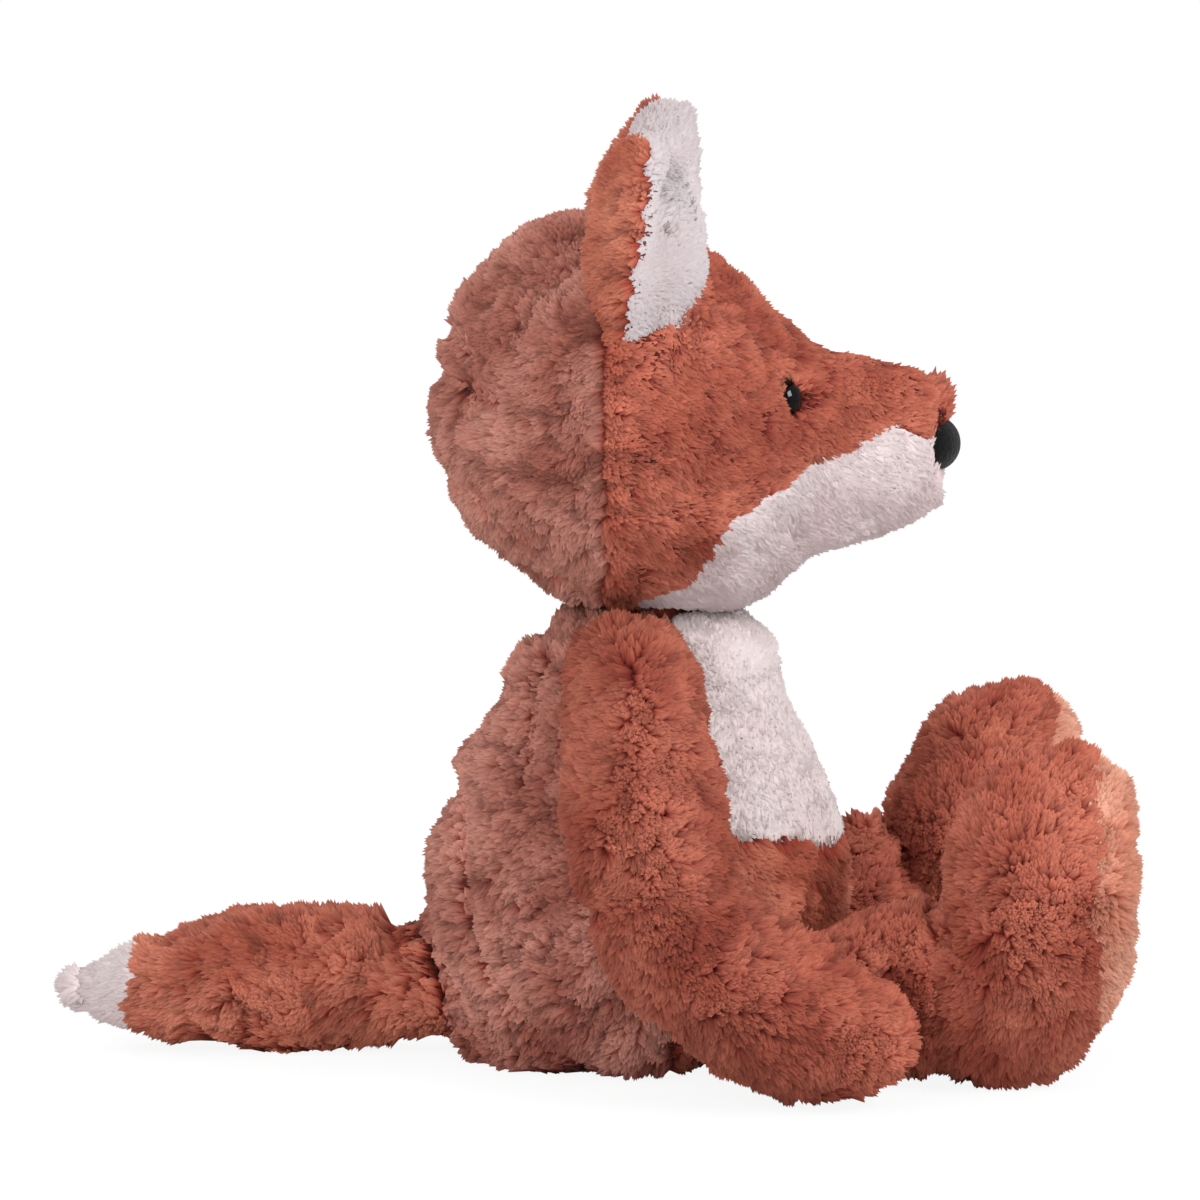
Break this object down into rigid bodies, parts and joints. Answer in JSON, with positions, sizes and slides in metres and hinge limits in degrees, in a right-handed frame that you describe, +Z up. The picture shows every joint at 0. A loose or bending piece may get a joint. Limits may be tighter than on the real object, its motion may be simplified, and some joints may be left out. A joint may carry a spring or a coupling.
{
  "type": "plush fox",
  "caption": "Sitting soft toy fox with a long-pile cover, white bib and face, stand-up ears, long sewn-on arms, legs with upright feet and a tail; head, ears, limbs and tail flex at their seams",
  "frame": {"origin": "on the surface that the toy sits on, in the middle of the body's flat seat", "axes": "+X the way the fox faces, +Y its left, +Z up"},
  "size_m": [0.337, 0.199, 0.293],
  "materials": {
    "rust_pile": "long rust-orange pile, darker at the roots",
    "back_pile": "the same pile, combed down and darker",
    "white_pile": "short off-white pile",
    "filling": "loose white fibre",
    "bag_cloth": "thin woven bag of beans",
    "flocked_nose": "black flock",
    "eye_plastic": "polished black",
    "washer_plastic": "moulded white plastic"
  },
  "bodies": {
    "body": {"torso_back_cover": "back_pile", "belly_cover": "rust_pile", "chest_bib": "white_pile", "torso_stuffing": "filling", "seat_bean_bag": "bag_cloth"},
    "neck": {"neck_stuffing": "filling"},
    "head": {"head_back_cover": "back_pile", "face_cover": "rust_pile", "cheek_cover": "white_pile", "muzzle_lower_cover": "white_pile", "head_stuffing": "filling", "nose": "flocked_nose", "nose_washer": "washer_plastic", "eye_right": "eye_plastic", "eye_left": "eye_plastic", "eye_washer_right": "washer_plastic", "eye_washer_left": "washer_plastic"},
    "ear_right": {"ear_right_back": "rust_pile", "ear_right_lining": "white_pile"},
    "ear_left": {"ear_left_back": "rust_pile", "ear_left_lining": "white_pile"},
    "arm_right": {"arm_right_cover": "rust_pile", "arm_right_stuffing": "filling"},
    "arm_left": {"arm_left_cover": "rust_pile", "arm_left_stuffing": "filling"},
    "leg_right": {"leg_right_cover": "rust_pile", "foot_right_sole": "rust_pile", "leg_right_stuffing": "filling"},
    "leg_left": {"leg_left_cover": "rust_pile", "foot_left_sole": "rust_pile", "leg_left_stuffing": "filling"},
    "tail": {"tail_cover": "rust_pile", "tail_tip_cover": "white_pile", "tail_stuffing": "filling"}
  },
  "joints": [
    {"name": "head_turn", "type": "hinge", "parent": "body", "child": "neck", "pos_m": [0.018, 0, 0.139], "axis": [0, 0, 1], "range_deg": [-45, 45], "stiffness_Nm_per_rad": 0.4},
    {"name": "head_nod", "type": "hinge", "parent": "neck", "child": "head", "pos_m": [0.018, 0, 0.139], "axis": [0, 1, 0], "range_deg": [-11, 11], "stiffness_Nm_per_rad": 1.2},
    {"name": "ear_right_fold", "type": "hinge", "parent": "head", "child": "ear_right", "pos_m": [0.015, -0.0425, 0.236], "axis": [0.4597, 0.6854, 0.5646], "range_deg": [-11, 11], "stiffness_Nm_per_rad": 0.03},
    {"name": "ear_left_fold", "type": "hinge", "parent": "head", "child": "ear_left", "pos_m": [0.015, 0.0425, 0.236], "axis": [0.4597, -0.6854, 0.5646], "range_deg": [-11, 11], "stiffness_Nm_per_rad": 0.03},
    {"name": "arm_right_lift", "type": "hinge", "parent": "body", "child": "arm_right", "pos_m": [0.009, -0.042, 0.126], "axis": [-0.3986, -0.9171, 0], "range_deg": [0, 60], "stiffness_Nm_per_rad": 0.15},
    {"name": "arm_left_lift", "type": "hinge", "parent": "body", "child": "arm_left", "pos_m": [0.009, 0.042, 0.126], "axis": [0.3986, -0.9171, 0], "range_deg": [0, 60], "stiffness_Nm_per_rad": 0.15},
    {"name": "leg_right_swing", "type": "hinge", "parent": "body", "child": "leg_right", "pos_m": [0.042, -0.033, 0.0235], "axis": [0, 1, 0], "range_deg": [-7, 38], "stiffness_Nm_per_rad": 0.3},
    {"name": "leg_left_swing", "type": "hinge", "parent": "body", "child": "leg_left", "pos_m": [0.042, 0.033, 0.0235], "axis": [0, 1, 0], "range_deg": [-7, 38], "stiffness_Nm_per_rad": 0.3},
    {"name": "tail_wag", "type": "hinge", "parent": "body", "child": "tail", "pos_m": [-0.049, 0, 0.0195], "axis": [0, 0, 1], "range_deg": [-19, 19], "stiffness_Nm_per_rad": 0.1}
  ]
}
